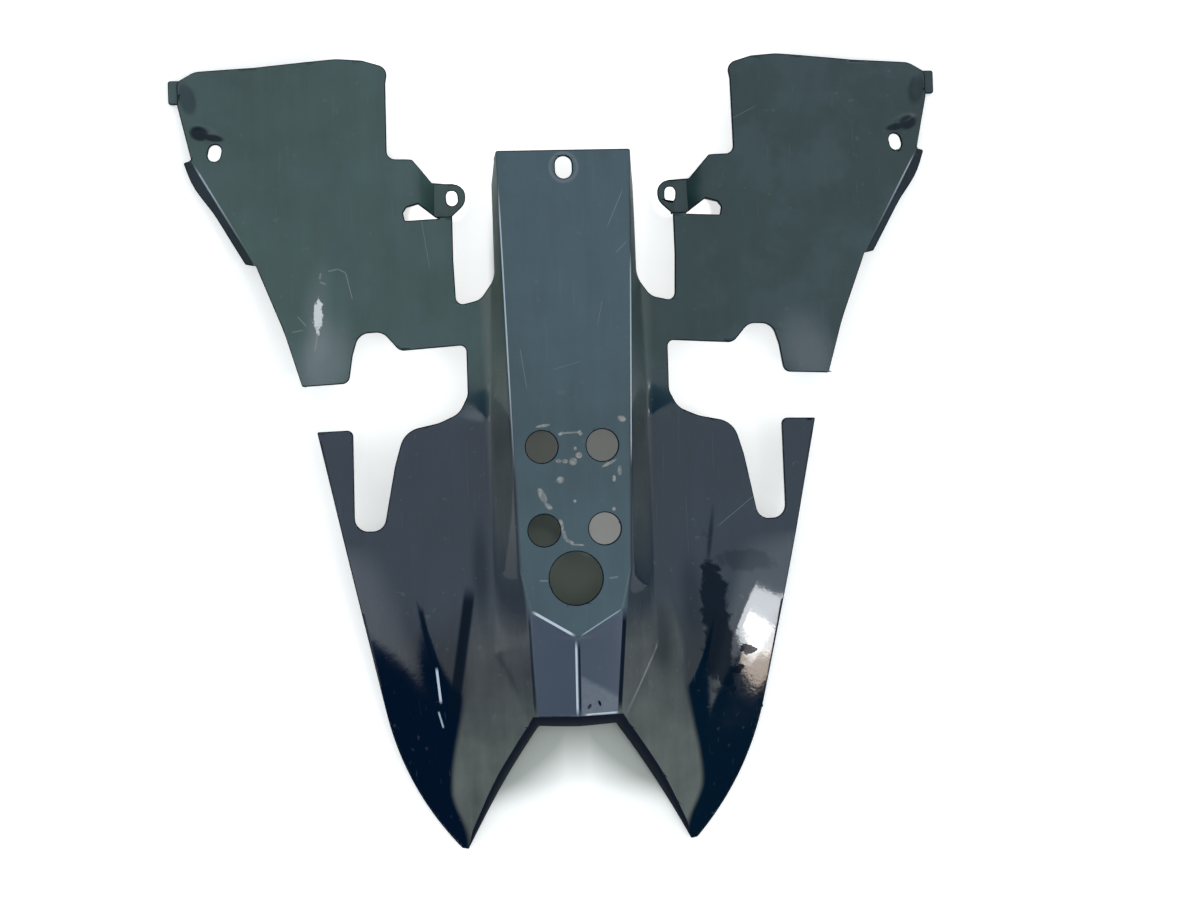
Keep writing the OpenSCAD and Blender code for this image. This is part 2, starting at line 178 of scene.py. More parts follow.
def outer_z(x, y):
    """Outer face: the lower of plate and wall, filled at the foot, less steps, pockets and lug."""
    p, f = plate_half(y), foot_half(y)
    skin = skin_z(x, y)
    foot = skin_z(f, y)
    top = plate_z(x, y)
    edge = plate_z(p, y)
    drop = (edge - foot) / (f - p)
    wall = edge - (x - p) * drop
    hat = soft_min(top, wall, 0.7 * soft_step((y + 136) / 20))
    fill = 0.3 + 1.9 * soft_step((y + 105) / 30) * (1 - soft_step((y - 76) / 14))
    z = soft_max(hat, skin, fill)
    z = np.where(x > f + 14, skin, z)
    z = z - flange_step(x, y) - lug_step(x, y, 71.6)
    ear = y > 60
    for pocket in POCKETS:
        z = z - ear * dent(x, y, *pocket, 3.0)
    return z - ear * dent(x, y, (90.5, 182), (5.5, 10), -10, 0.7)


def inner_z(x, y, t=SHEET):
    """Inner face: the outer one moved in by the thickness, thinner where ear and plate part."""
    p, f = plate_half(y), foot_half(y)
    skin = skin_z(x, y)
    foot = skin_z(f, y)
    edge = plate_z(p, y)
    lean = np.arctan2(edge - foot, f - p)
    shift = t * np.tan(lean / 2)
    drop = (edge - foot) / (f - p)
    wall = edge - t - (x - p + shift) * drop
    free = soft_step((y - 72) / 10)
    hat = soft_min(plate_z(x, y) - t, wall, 0.7)
    z = soft_max(hat, skin - t * (1 - 0.9 * free * (x < f + 2)), 0.3)
    z = np.where(x > f + 10, skin - t, z)
    z = z - flange_step(x, y) - lug_step(x, y, 70.6)
    for pocket in POCKETS:
        z = z - (y > 60) * dent(x, y, *pocket, 3.0)
    return z


def rows():
    """Stations along the part, closer together where the form turns quickly."""
    return np.concatenate([
        np.arange(-202, -138, 2.0), np.arange(-138, -128, 1.0), np.arange(-128, -92, 2.0),
        np.arange(-92, -76, 0.9), np.arange(-76, -56, 2.0), np.arange(-56, 10, 3.0),
        np.arange(10, 40, 1.5), np.arange(40, 92, 2.0), np.arange(92, 116, 1.6),
        [116.4, 116.6, 116.8, 117.0, 117.2, 117.4], np.arange(118.5, 186, 1.5), np.arange(186, 203, 2.0),
    ])


def columns(y, fine=True):
    """Places across one half for each row, in rows by columns, which follow the edges of the form."""
    p, f = plate_half(y)[:, None], foot_half(y)[:, None]
    point = np.where(y >= -77, plate_half(y) - 1.4, np.maximum(0.6, 21.0 * (y - POINT_Y) / POINT_RISE))[:, None]
    blend = soft_step((y - 14) / 22)[:, None]
    middle = mix(crest_x(y)[:, None], 121.0, blend)
    edge = side_x(y)[:, None]
    side = mix(np.interp(y, [-202, -150, 14], [74, 100, 134])[:, None], 196.0, blend)
    parts = [np.zeros_like(p)]
    if not fine:
        parts += [p * s for s in (0.4, 0.8)] + [p - 2.2, p - 1.0, p]
        parts += [mix(p, f, s) for s in (0.35, 0.7, 1.0)]
        parts += [mix(f, middle, s) for s in (0.1, 0.3, 0.5, 0.7, 0.9, 1.0)]
        parts += [mix(middle, edge, s) for s in np.linspace(0.08, 1.0, 12)]
        parts += [edge + 0.6, edge + 1.2, np.maximum(side, edge + 3)]
        return np.concatenate(parts, axis=1)
    parts += [point * s for s in (0.02, 0.2, 0.4, 0.6, 0.8, 0.95)] + [point]
    parts += [mix(point + 0.3, p - 0.3, s) for s in (0.0, 0.35, 0.7, 1.0)] + [p]
    parts += [mix(p, f, s) for s in (0.04, 0.1, 0.2, 0.35, 0.55, 0.75, 0.9, 1.0)]
    parts += [f + s for s in (1.0, 2.5, 4.5, 7.0)]
    parts += [mix(f + 7.0, middle, s) for s in np.linspace(0.1, 1.0, 12)]
    near = middle + (edge - middle) * 0.5
    parts += [mix(middle, near, s) for s in np.linspace(0.08, 1.0, 12)]
    parts += [mix(near, edge - 0.3, s) for s in np.linspace(0.05, 1.0, 19)]
    parts += [edge + s for s in (0.15, 0.55, 0.95, 1.3)] + [np.maximum(side, edge + 3)]
    return np.concatenate(parts, axis=1)


def sheet_grid():
    """The closed sheet: a ring of outer and inner columns for each row, carried along the rows."""
    y = rows()
    xo, xi = columns(y), columns(y, fine=False)
    zo, zi = outer_z(xo, y[:, None]), inner_z(xi, y[:, None])
    xs = np.concatenate([-xo[:, :0:-1], xo, xi[:, ::-1], -xi[:, 1:]], axis=1)
    zs = np.concatenate([zo[:, :0:-1], zo, zi[:, ::-1], zi[:, 1:]], axis=1)
    ys = np.broadcast_to(y[:, None], xs.shape)
    return np.stack([xs, ys, zs], axis=2)


# ------------------------------------------------------------- outlines

def unit(v):
    """A vector of length one in the same direction."""
    return v / np.linalg.norm(v)


def rounded(corners, turn=6.0):
    """A closed path through corners of x, y and radius, each cut by an arc that touches both sides."""
    c = np.array(corners, float)
    out = []
    for a, p, b in zip(np.roll(c, 1, 0), c, np.roll(c, -1, 0)):
        r, q = p[2], p[:2]
        if r <= 0:
            out.append(q[None])
            continue
        u, v = unit(a[:2] - q), unit(b[:2] - q)
        half = math.acos(max(-1.0, min(1.0, float(u @ v)))) / 2
        centre = q + unit(u + v) * r / math.sin(half)
        start = q + u * r / math.tan(half) - centre
        side = -1.0 if u[0] * v[1] - u[1] * v[0] > 0 else 1.0
        sweep = math.pi - 2 * half
        step = max(math.radians(turn), 0.35 / r)
        k = np.linspace(0, side * sweep, max(2, int(sweep / step) + 2))
        out.append(centre + np.stack([
            start[0] * np.cos(k) - start[1] * np.sin(k), start[0] * np.sin(k) + start[1] * np.cos(k)
        ], 1))
    return np.concatenate(out)


def bowed(a, b, bow, n):
    """Points between a and b on a parabola that stands off the straight line by bow."""
    a, b = np.array(a, float), np.array(b, float)
    d = unit(b - a)
    t = np.linspace(0, 1, n + 1)[1:-1, None]
    return a + (b - a) * t + np.array([d[1], -d[0]]) * (-4 * bow) * t * (1 - t)


TIP_OUT, TIP_IN = (58.8, -194.6), (55.6, -195.2)
NOTCH = (19.2, -134.4)
NOTCH_WAY = unit(np.array(NOTCH) - np.array(TIP_IN))
NOTCH_IN = np.array([NOTCH_WAY[1], -NOTCH_WAY[0]])


def notch_edge(t):
    """The notch's lower edge from tip to corner, on a shallow parabola."""
    t = np.asarray(t, float)[..., None]
    return np.array(TIP_IN) + (np.array(NOTCH) - np.array(TIP_IN)) * t + NOTCH_IN * 4.8 * t * (1 - t)


def bend_edge(t):
    """The line where the sheet bends down into the lip, further from the edge in the middle."""
    t = np.asarray(t, float)
    return notch_edge(t) + NOTCH_IN * (LIP_WIDTH * (0.25 + 0.75 * soft_step(t * 1.6)))[..., None]


def bend_corner():
    """Where the bend along the side meets the bend along the middle."""
    corner = np.array(NOTCH) + NOTCH_IN * LIP_WIDTH
    return corner + NOTCH_WAY * (BEND_Y - corner[1]) / NOTCH_WAY[1]


def seam(t):
    """Where the sheet ends and the lip goes on: at the edge by the tip, past the bend elsewhere."""
    part = soft_step(np.asarray(t, float) / 0.14)[..., None]
    return mix(notch_edge(t), bend_edge(t) + NOTCH_IN * 0.9, part)


# corners of x, y and radius: the window beside each ring lug, and the tabs at the ears
WINDOW = [
    (78.3, 119, 1), (76.6, 121.6, 0.8), (70.9, 123.6, 0.5), (62.6, 117.6, 1),
    (60.4, 116.7, 0.3), (61, 115.9, 0.2), (77.6, 115, 0.8),
]
TAB = [(183, 176.2, 1), (183, 187.8, 1), (191.3, 187.8, 1.2), (191.3, 176.2, 1.2)]


def half_outline():
    """Plan of one half of the sheet, as corners with radii and bowed stretches."""
    def flat(pts):
        return [(q[0], q[1], 0.0) for q in pts]

    t = np.linspace(0, 1, 32)[1:-1]
    return [
        (-2, 147, 0), (32.8, 147, 1.2), (34.8, 132, 20), (34.8, 86, 12), (42, 75.8, 8), (53.8, 73, 3.4),
        (54.6, 96, 0), (54.4, 117.7, 0.5), (47.6, 123.9, 6.6), (47.6, 133.4, 6.6),
        (63.9, 134.6, 0.8), (73.2, 145.2, 0.8),
        (85.4, 145.4, 4), (85, 183, 3), (83.6, 190.5, 5), (96, 194.2, 10), (108.5, 195.1, 20),
        (128, 193.6, 30), (148, 192.2, 30), (178, 191.6, 10), (187, 187, 4), (186.8, 175, 10),
        (180.6, 148.2, 0.5), (184.7, 147.2, 0.8), (180.5, 135.3, 40), (170.2, 121.3, 60), (155.7, 96.2, 1.0),
        (150.4, 95, 0.5), (137.5, 62, 60), (129.6, 35.4, 0.8), (107, 36.4, 4), (104.8, 50, 8),
        (101.5, 60.5, 7), (90, 61, 7), (82, 51.6, 5), (49.6, 53.8, 3), (49.6, 29, 8), (54, 20.5, 10),
        (64, 16, 20), (81, 12.5, 12), (86, -4, 25), (92.4, -35.8, 6.5), (106.4, -35.8, 6.5), (105.8, 13.8, 3),
        (123.5, 13.4, 0.6), (94, -126, 0),
    ] + flat(bowed((94, -126), TIP_OUT, 5.2, 24)) + [(*TIP_OUT, 0.8), (*TIP_IN, 0.5)] \
        + flat(seam(t)) + flat([bend_corner() + [0.8, 0.9], (-2, -130.6)])


def slot_points(at, turn, width, length, n=16):
    """A slot's outline: two half circles joined by straight sides, turned and moved."""
    a = np.linspace(0, math.pi, n)
    top = np.stack([np.cos(a), np.sin(a)], 1) * width / 2 + [0, (length - width) / 2]
    pts = np.concatenate([top, -top])
    c, s = math.cos(math.radians(turn)), math.sin(math.radians(turn))
    return pts @ np.array([[c, s], [-s, c]]) + np.array(at)


def circle_points(at, d, n=64):
    """A circle of diameter d."""
    a = np.linspace(0, 2 * math.pi, n, endpoint=False)
    return np.stack([np.cos(a), np.sin(a)], 1) * d / 2 + np.array(at)


# ------------------------------------------------------------- meshes

def new_object(name, verts, faces, smooth=35.0):
    """Makes an object from points in millimetres and faces, with its normals outwards."""
    mesh = bpy.data.meshes.new(name)
    mesh.from_pydata((np.asarray(verts) * MM).tolist(), [], [list(map(int, f)) for f in faces])
    mesh.update()
    mesh.validate()
    obj = bpy.data.objects.new(name, mesh)
    bpy.context.scene.collection.objects.link(obj)
    outward(obj)
    shade(obj, smooth)
    return obj


def outward(obj, near=1e-4):
    """Merges points nearer than a distance in millimetres and turns the faces outwards."""
    bm = bmesh.new()
    bm.from_mesh(obj.data)
    bmesh.ops.remove_doubles(bm, verts=bm.verts, dist=near * MM)
    bmesh.ops.recalc_face_normals(bm, faces=bm.faces)
    bm.to_mesh(obj.data)
    bm.free()


def shade(obj, angle):
    """Smooth shading that keeps edges sharper than the angle."""
    mesh = obj.data
    mesh.shade_smooth()
    mesh.set_sharp_from_angle(angle=math.radians(angle))


def ring_faces(n_rows, n_ring):
    """Quads between neighbouring rings of equal length."""
    i = np.arange(n_ring)
    j = np.arange(n_rows - 1)[:, None]
    a, b = j * n_ring + i, j * n_ring + (i + 1) % n_ring
    return np.stack([a, b, b + n_ring, a + n_ring], 2).reshape(-1, 4).tolist()


def prism(name, pts, low, high):
    """A straight wall between two heights over a closed outline, with both ends closed."""
    n = len(pts)
    v = np.concatenate([np.c_[pts, np.full(n, low)], np.c_[pts, np.full(n, high)]])
    faces = ring_faces(2, n) + [list(range(n))[::-1], list(range(n, 2 * n))]
    return new_object(name, v, faces)


def join(name, objs):
    """One mesh from several."""
    bm = bmesh.new()
    for o in objs:
        bm.from_mesh(o.data)
    mesh = bpy.data.meshes.new(name)
    bm.to_mesh(mesh)
    bm.free()
    for o in objs:
        bpy.data.objects.remove(o)
    obj = bpy.data.objects.new(name, mesh)
    bpy.context.scene.collection.objects.link(obj)
    return obj


def apply_boolean(obj, cutter, operation):
    """Cuts one closed mesh with another and keeps the result in the mesh."""
    mod = obj.modifiers.new("cut", "BOOLEAN")
    mod.object, mod.operation, mod.solver = cutter, operation, "MANIFOLD"
    dg = bpy.context.evaluated_depsgraph_get()
    done = bpy.data.meshes.new_from_object(obj.evaluated_get(dg))
    obj.modifiers.clear()
    old = obj.data
    obj.data = done
    bpy.data.meshes.remove(old)
    bpy.data.objects.remove(cutter)


def mirrored_points(pts):
    """The same outline on the other side of the middle."""
    return pts[::-1] * [-1, 1]


# ------------------------------------------------------------- materials

class Value:
    """A shader socket with arithmetic, so that masks are written as expressions."""

    def __init__(self, tree, socket):
        self.tree, self.socket = tree, socket

    def math(self, op, other=None, clamp=False):
        """One Math node on this socket and another socket or number."""
        node = self.tree.nodes.new("ShaderNodeMath")
        node.operation, node.use_clamp = op, clamp
        for i, v in enumerate((self, other)):
            if isinstance(v, Value):
                self.tree.links.new(v.socket, node.inputs[i])
            elif v is not None:
                node.inputs[i].default_value = v
        return Value(self.tree, node.outputs[0])

    def __add__(self, o): return self.math("ADD", o)
    def __mul__(self, o): return self.math("MULTIPLY", o)
    def __sub__(self, o): return self.math("SUBTRACT", o)
    def __truediv__(self, o): return self.math("DIVIDE", o)
    __radd__, __rmul__ = __add__, __mul__

    def __rsub__(self, o):
        return (self * -1.0) + o

    def clamp(self):
        """The value held between 0 and 1."""
        return self.math("MULTIPLY", 1.0, clamp=True)

    def rise(self, low, high):
        """Smooth step from 0 at low to 1 at high."""
        return Shade.of(self.tree).node(
            "ShaderNodeMapRange", {"interpolation_type": "SMOOTHSTEP"},
            {"Value": self, "From Min": low, "From Max": high})


class Shade:
    """A material's node tree, with one method that makes any node."""

    def __init__(self, name):
        self.mat = bpy.data.materials.new(name)
        self.mat.use_nodes = True
        self.tree = self.mat.node_tree
        self.bsdf = self.tree.nodes["Principled BSDF"]
        where = self.tree.nodes.new("ShaderNodeTexCoord")
        self.place = Value(self.tree, where.outputs["Object"])

    @classmethod
    def of(cls, tree):
        """The same methods on a tree that exists."""
        s = cls.__new__(cls)
        s.tree = tree
        return s

    def node(self, kind, settings=None, inputs=None, out=0):
        """Any node, with its settings, its inputs as sockets or constants, and one output."""
        n = self.tree.nodes.new(kind)
        for k, v in (settings or {}).items():
            setattr(n, k, v)
        for k, v in (inputs or {}).items():
            if isinstance(v, Value):
                self.tree.links.new(v.socket, n.inputs[k])
            else:
                n.inputs[k].default_value = v
        return Value(self.tree, n.outputs[out])

    def parts(self, vector):
        """The three numbers of a vector."""
        split = self.node("ShaderNodeSeparateXYZ", None, {0: vector}).socket.node
        return [Value(self.tree, out) for out in split.outputs]

    def here(self):
        """The place on the object, in millimetres."""
        return self.node("ShaderNodeVectorMath", {"operation": "SCALE"}, {0: self.place, "Scale": 1000.0})

    def turned(self, place, at, size, angle):
        """The place as seen from a point, along turned axes, in shares of the two sizes."""
        return self.node("ShaderNodeMapping", {"vector_type": "TEXTURE"}, {
            "Vector": place, "Location": (*at, 0.0), "Rotation": (0.0, 0.0, angle), "Scale": (*size, 1e6)})

    def noise(self, scale, detail=3.0, rough=0.5, turn=(0, 0, 0), stretch=(1, 1, 1), distort=0.0):
        """Noise in metres of the object, turned and stretched."""
        m = self.node("ShaderNodeMapping", None, {"Vector": self.place, "Rotation": turn, "Scale": stretch})
        return self.node("ShaderNodeTexNoise", None, {
            "Vector": m, "Scale": scale, "Detail": detail, "Roughness": rough, "Distortion": distort})

    def blend(self, factor, a, b):
        """Mix of two colours."""
        n = self.tree.nodes.new("ShaderNodeMix")
        n.data_type = "RGBA"
        for i, v in ((0, factor), (6, a), (7, b)):
            if isinstance(v, Value):
                self.tree.links.new(v.socket, n.inputs[i])
            else:
                n.inputs[i].default_value = v
        return Value(self.tree, n.outputs[2])

    def set(self, name, v):
        """Gives an input of the surface a socket or a constant."""
        s = self.bsdf.inputs[name]
        if isinstance(v, Value):
            self.tree.links.new(v.socket, s)
        else:
            s.default_value = v


def spot(s, place, at, size, turn=0.0):
    """Distance from a place in a turned ellipse: 0 at the middle, 1 at its edge."""
    local = s.turned(place, at, size, math.radians(turn))
    return s.node("ShaderNodeVectorMath", {"operation": "LENGTH"}, {0: local}, "Value")


def stroke(s, place, a, b, half, soft=0.3):
    """A scratch from a to b: a thin bar with soft sides and ends."""
    (ax, ay), (bx, by) = a, b
    size = (math.hypot(bx - ax, by - ay) / 2, half)
    local = s.turned(place, ((ax + bx) / 2, (ay + by) / 2), size, math.atan2(by - ay, bx - ax))
    along, across, _ = s.parts(s.node("ShaderNodeVectorMath", {"operation": "ABSOLUTE"}, {0: local}))
    return (1 - across.rise(1 - soft, 1)) * (1 - along.rise(0.7, 1))


def mask_max(items):
    """The strongest of several masks."""
    out = None
    for m in items:
        out = m if out is None else out.math("MAXIMUM", m)
    return out


# dried residue on the plate, as place, half axes and turn in degrees
PATCHES = (
    ((-6.9, -4.3), (1.5, 1.0), 0), ((-3.7, -4.5), (1.4, 1.1), 0), ((0.3, -4.6), (2.0, 1.9), 0),
    ((3.2, -1.8), (1.8, 1.6), 0), ((-6.3, -13.5), (1.8, 1.7), 0), ((-15.2, -21.0), (1.9, 4.4), 24),
    ((-12.4, -26.2), (2.4, 1.4), -40), ((-6.7, -35.5), (1.6, 3.2), 10), ((22.8, -9.6), (1.1, 2.6), 0),
    ((20, -13.6), (0.9, 1.8), 0), ((18, -6), (4.5, 0.9), 25), ((0.5, -24), (0.9, 0.9), 0),
    ((19.4, -28.4), (1.0, 1.2), 0), ((-14, 13.0), (3.5, 0.7), 8), ((24.5, 15.4), (2.2, 1.6), -20),
    ((1.5, 1.5), (0.8, 1.0), 0),
)
# the same in bars, and the scratches, as both ends and half width
BARS = (
    ((-6.6, 8.3), (-4.0, 9.6), 0.9), ((-5.7, 9.2), (4.0, 9.4), 0.55), ((3.2, 10.2), (4.9, 8.0), 1.1),
    ((-5.6, -38), (-4.6, -42.6), 1.2), ((-4.8, -42.2), (-0.5, -45.0), 1.0), ((-1.8, -45), (4.6, -45.6), 0.5),
)
SCRATCHES = (
    ((-115.8, 91), (-110.5, 92.2), 0.4), ((-110.8, 92.2), (-106.6, 90), 0.35),
    ((-107, 90.4), (-105.6, 84), 0.35), ((-105.8, 85), (-104, 77), 0.3),
    ((-119.6, 87.2), (-118.9, 90.6), 0.55), ((-119.8, 86.2), (-116.6, 84.8), 0.5),
    ((-131, 70), (-126.5, 64.5), 0.3), ((-121.2, 62), (-123, 52), 0.5), ((-134, 62), (-128, 63), 0.3),
    ((20, 108), (29, 128), 0.22), ((24, 96), (30, 102), 0.2), ((14, 60), (17, 74), 0.15),
    ((-24, 52), (-21, 30), 0.18), ((-9, 40), (6, 44), 0.12), ((60, 150), (100, 170), 0.12),
    ((-66, 90), (-70, 118), 0.14), ((70, -40), (96, -20), 0.15),
    ((-18.2, -62.1), (-13.4, -62.3), 0.5), ((15.8, -62.1), (20.8, -61.5), 0.5),
)
# matte black for dirt blots and for painted shade
MATTE_DIRT_AND_SHADE = (0.002, 0.007, 0.015, 1)
# pale tone for the washer ring's wear and for painted highlights
PALE_WEAR_AND_HIGHLIGHT = (0.23, 0.25, 0.27, 1)


def gloss_plastic(look):
    """Gloss black plastic under a thin film of dust, with residue, scuffs and fine scratches."""
    s = Shade("gloss_film")
    here = s.here()
    x, y, _ = s.parts(here)
    side = x.math("ABSOLUTE")
    both = s.node("ShaderNodeCombineXYZ", None, {0: side, 1: y})
    wide = s.noise(7.0, 4.0, 0.55)
    mid = s.noise(45.0, 5.0, 0.6)
    fine = s.noise(420.0, 3.0, 0.6)
    streaks = s.noise(60.0, 3.0, 0.6, stretch=(2.2, 0.28, 1.0))
    cloud = 0.6 * (wide - 0.5) + 0.5 * (mid - 0.5) + 0.4 * (streaks - 0.5)

    # the film: thick on plate and ears, thin on the wings; the wings' rear crests are left bare black, a painted
    # shade for their dark reflection
    half = 27.0 + 0.028 * (y + 58) + (y + 58).math("MINIMUM", 0.0) * 0.07
    plate = 1 - (side - half).rise(-1.2, 0.2)
    front = y.rise(8, 46)
    clean = (1 - (y + cloud * 26).rise(-104, -66)) * (1 - plate)
    inner_line = 56 - 6 * y.rise(-100, -68) + 8 * (y.rise(-192, -165) - y.rise(-165, -105)) - x.rise(-20, 20) * 1.5
    inner = (1 - (side - inner_line + cloud * 3).rise(-3, 0.6)) * (1 - y.rise(-100, -62)) * (1 - plate)
    walls = (side - half).rise(0, 2) * (1 - (side - half).rise(9, 13)) * y.rise(-80, -20)
    flange = ((side - 150.4) * 0.866 - (y - 95.4) * 0.5).rise(0.6, 1.2)
    flange = flange * y.rise(93.5, 94.5) * (1 - y.rise(148, 149))
    hollow = mask_max((
        (1 - spot(s, both, (182, 178.4), (4.6, 9.2), -14).rise(0.6, 1.1)) * 0.45,
        1 - spot(s, both, (176.4, 161.0), (5.2, 3.8), 20).rise(0.65, 1.1),
        1 - spot(s, both, (169.8, 158.6), (6.2, 1.9), 14).rise(0.6, 1.1)))
    right = x.rise(-30, 70)
    colour = s.blend(front, (*look.wing_film, 1), (*look.ear_film, 1))
    # painted reflection of the pale floor in the plate's side walls, in the dust colour
    colour = s.blend(walls * 0.4, colour, (*look.dust_and_reflection_colour, 1))
    # painted shade: the wings' rear crests fall to the bare black
    colour = s.blend(clean, colour, (*look.plastic_colour, 1))
    # painted shade: the flange and the ear pockets keep the bare black
    colour = s.blend(mask_max((flange, hollow)) * 0.85, colour, (*look.plastic_colour, 1))
    colour = s.blend(right * (1 - plate) * (0.2 + 0.5 * front), colour, (0.003, 0.024, 0.027, 1))
    colour = s.blend(plate, colour, (*look.plate_film, 1))
    # dust beside the notch; its rise towards the wing tips is a painted reflection of the floor
    dust = (inner * (0.2 + 0.62 * (1 - y.rise(-160, -105)) + cloud * 0.5)).clamp()
    colour = s.blend(dust, colour, (*look.dust_and_reflection_colour, 1))
    colour = s.blend((0.5 - cloud * 1.6).clamp() * 0.55, colour, (*look.plastic_colour, 1))
    mottling = front * s.noise(28.0, 4.0, 0.6, turn=(0, 0, 0.6)).rise(0.45, 0.62) * 0.22
    colour = s.blend(mottling, colour, (0.05, 0.09, 0.11, 1))

    # marks of use: washer ring, residue, chalky scuff, scratches; the pale halo round the scuff is a painted
    # highlight
    rim = spot(s, here, (0, 138.5), (7.0, 7.4))
    ring = rim.rise(0.72, 0.95) * (1 - rim.rise(0.95, 1.12))
    patches = mask_max(
        1 - (spot(s, here, at, size, turn) + (mid - 0.5) * 1.1).rise(0.65, 1.0) for at, size, turn in PATCHES)
    bars = mask_max(stroke(s, here, a, b, w, 0.5) for a, b, w in BARS)
    patches = patches.math("MAXIMUM", bars)
    residue = patches * (0.45 + 0.55 * fine.rise(0.42, 0.6))
    chalk = s.noise(330.0, 4.0, 0.7, stretch=(1.0, 0.55, 1.0))
    scuff = 1 - (spot(s, here, (-120.9, 69.5), (3.0, 11), -3) + (chalk - 0.5) * 2.0).rise(0.55, 0.8)
    halo_highlight = (1 - (spot(s, here, (-121, 68), (9, 34), -4) + (mid - 0.5) * 0.8).rise(0.2, 1.0)) * 0.2
    scratches = mask_max(stroke(s, here, a, b, w) for a, b, w in SCRATCHES)
    hair = s.noise(900.0, 2.0, 0.5, turn=(0, 0, 0.5), stretch=(1.0, 0.03, 1.0)).rise(0.68, 0.74)
    specks = s.noise(260.0, 1.0, 0.4).rise(0.72, 0.78)

    # painted highlights: pale light on turned edges, on the ear crests with the scuff's halo and on the facets
    # behind the point, and a painted reflection on the left wing
    glow = (1 - spot(s, both, (119, 46), (19, 30), 18).rise(0.2, 1.0)) * (0.36 - 0.12 * right) + halo_highlight
    crease = stroke(s, both, (150.6, 95.4), (180, 146.6), 0.5) * y.rise(100, 140) * 0.6
    point = stroke(s, here, (-22.6, -76.6), (-0.8, -90.0), 0.75)
    point = point + stroke(s, here, (22.3, -77.0), (0.8, -90.0), 0.4) * 0.45
    ridge = stroke(s, here, (-1.0, -91), (-0.6, -131), 0.6) + stroke(s, here, (2.4, -129.5), (20.4, -129.2), 0.6)
    facets = (side * 0.516 - (y + 90.5) * 0.857).rise(0.0, 0.6) * plate
    shine = facets * x.rise(0.8, 2.0) * (1 - (y + x * 0.5 + mid * 8).rise(-108, -104)) * (0.35 + 0.65 * fine)
    edges = stroke(s, here, (-32.2, 134), (-28.2, -18), 0.4) * y.rise(-30, 60)
    edges = edges + stroke(s, here, (31.6, 100), (28.6, -10), 0.4)
    # painted reflection of a light on the left wing
    left_wing_reflection = stroke(s, here, (-69, -103), (-67.2, -122), 0.7)
    left_wing_reflection = left_wing_reflection + stroke(s, here, (-68.7, -125), (-66.3, -134), 0.5) * 0.7
    bright = mask_max((crease, point, ridge, edges * 0.8, left_wing_reflection))
    colour = s.blend(facets * 0.85, colour, (0.054, 0.066, 0.097, 1))
    # pale wear of the washer ring, and painted highlights on the ear crests, the scuff's halo and the facets
    colour = s.blend((ring * 0.3 + glow + shine * 0.6).clamp(), colour, PALE_WEAR_AND_HIGHLIGHT)
    colour = s.blend(scuff * 0.9, colour, (0.68, 0.68, 0.66, 1))
    colour = s.blend((residue * 0.75).clamp(), colour, (0.36, 0.34, 0.3, 1))
    colour = s.blend((scratches * 0.35 + hair * 0.05 + specks * 0.06).clamp(), colour, (0.3, 0.31, 0.31, 1))
    colour = s.blend(bright.clamp(), colour, (0.55, 0.6, 0.66, 1))
    s.set("Base Color", colour)

    # roughness, and places mixed towards a matte black that reflects nothing: some dirt blots, but mostly painted
    # shade and dark reflections in the troughs, along the plate's walls and middle crease, on the wings, in the ear
    # pockets and on the flange
    glossy = (1 - front) * (1 - plate)
    rough = 0.3 - 0.26 * glossy + 0.2 * inner + 0.25 * (residue + scuff * 0.8) + 0.08 * (mid - 0.5) + 0.1 * scratches
    blot = s.noise(110.0, 4.0, 0.62, distort=0.6)
    torn = mask_max((
        1 - (spot(s, here, (85, -101.5), (7, 3.4), -20) + (blot - 0.5) * 3.2).rise(0.6, 0.75),
        1 - (spot(s, here, (81, -110), (5, 3.0), 30) + (blot - 0.5) * 3.2).rise(0.6, 0.75)))
    dirt_and_painted_shade = mask_max((
        (1 - (spot(s, here, (70, -88), (9.2, 42), 5) + (blot - 0.5) * 1.5).rise(0.7, 0.95)) * 0.85,
        (1 - (spot(s, here, (85, -56), (20, 6), -4) + (blot - 0.5) * 1.4).rise(0.6, 1.0)) * 0.3,
        (1 - spot(s, here, (67.6, -44), (1.8, 20), -7).rise(0.2, 1.0)) * 0.6,
        stroke(s, here, (-50.8, -62), (-62.2, -132), 3.6, 0.5) * 0.9,
        stroke(s, here, (-76, -72), (-70.8, -104), 1.7, 0.7) * 0.8,
        stroke(s, here, (23.6, -76), (20.4, -131), 1.3, 0.4) * 0.95,
        stroke(s, here, (-23.6, -76), (-21, -131), 0.8, 0.5) * 0.7,
        stroke(s, here, (0.5, -91), (0.9, -131), 0.6, 0.5) * 0.9,
        (1 - spot(s, here, (-46, -58), (6, 36), 0).rise(0.2, 1.0)) * 0.4,
        (1 - spot(s, here, (58, -74), (8, 30), 4).rise(0.2, 1.0)) * 0.35,
        (1 - spot(s, here, (42, -94), (9, 24), 0).rise(0.2, 1.0)) * 0.4,
        1 - (spot(s, here, (10.6, -124.2), (1.1, 2.2), 20) + (blot - 0.5) * 2.2).rise(0.6, 0.9),
        (1 - (spot(s, here, (5.4, -125.2), (1.2, 2.0), -30) + (blot - 0.5) * 2.4).rise(0.6, 0.9)) * 0.8,
        torn * 0.9, flange * 0.45, hollow * 0.6))
    s.set("Roughness", rough.math("MAXIMUM", 0.03))
    s.set("Specular IOR Level", 0.5)
    bump = s.node("ShaderNodeBump", None, {
        "Strength": 0.04, "Distance": 0.001, "Height": mid * 0.6 + fine * 0.1})
    s.set("Normal", bump)
    s.set("IOR", 1.5)
